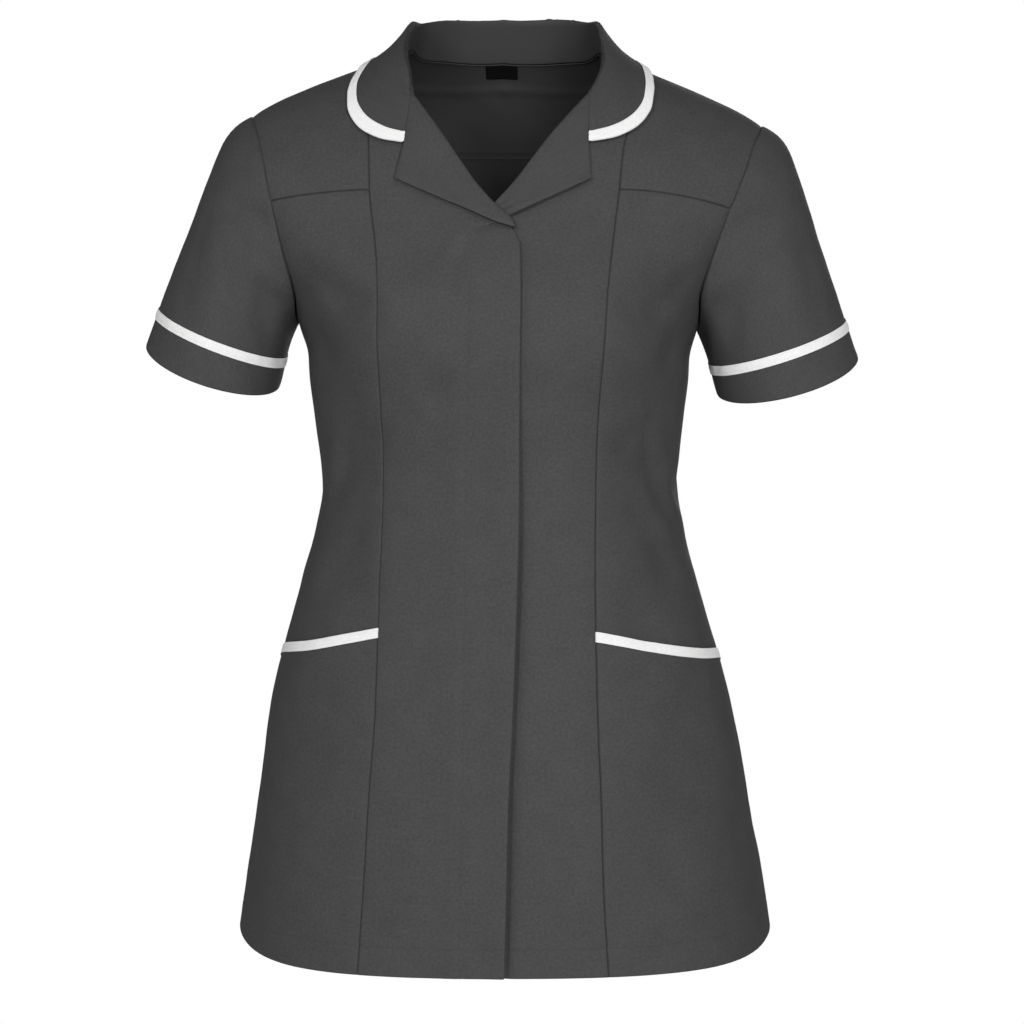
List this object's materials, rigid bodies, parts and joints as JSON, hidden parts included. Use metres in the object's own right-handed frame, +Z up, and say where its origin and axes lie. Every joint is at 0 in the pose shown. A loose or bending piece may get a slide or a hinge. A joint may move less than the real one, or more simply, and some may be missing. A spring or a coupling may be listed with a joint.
{
  "type": "short-sleeved medical tunic",
  "caption": "Hip-length tunic with a notched collar, hidden front closing, short sleeves, hip pockets and contrasting tape, filled out as if worn.",
  "frame": {"origin": "midway between the neck points of the two shoulder seams, where the wearer's shoulders hold the tunic up", "axes": "+Z up, the wearer faces -Y, the wearer's left is +X"},
  "size_m": [0.5704, 0.3012, 0.7562],
  "materials": {
    "charcoal_cloth": "fine matt weave",
    "white_tape": "fine matt weave",
    "black_label": "satin weave"
  },
  "bodies": {
    "root": {"front_centre_right": "charcoal_cloth", "front_centre_left": "charcoal_cloth", "lapel_right": "charcoal_cloth", "lapel_left": "charcoal_cloth", "front_yoke_right": "charcoal_cloth", "front_yoke_left": "charcoal_cloth", "front_side_right": "charcoal_cloth", "front_side_left": "charcoal_cloth", "pocket_right": "charcoal_cloth", "pocket_left": "charcoal_cloth", "sleeve_right": "charcoal_cloth", "sleeve_left": "charcoal_cloth", "back_centre": "charcoal_cloth", "back_side_right": "charcoal_cloth", "back_side_left": "charcoal_cloth", "back_yoke": "charcoal_cloth", "collar": "charcoal_cloth", "pocket_tape_right": "white_tape", "pocket_tape_left": "white_tape", "sleeve_tape_right": "white_tape", "sleeve_tape_left": "white_tape", "collar_tape": "white_tape", "label": "black_label"}
  },
  "joints": []
}
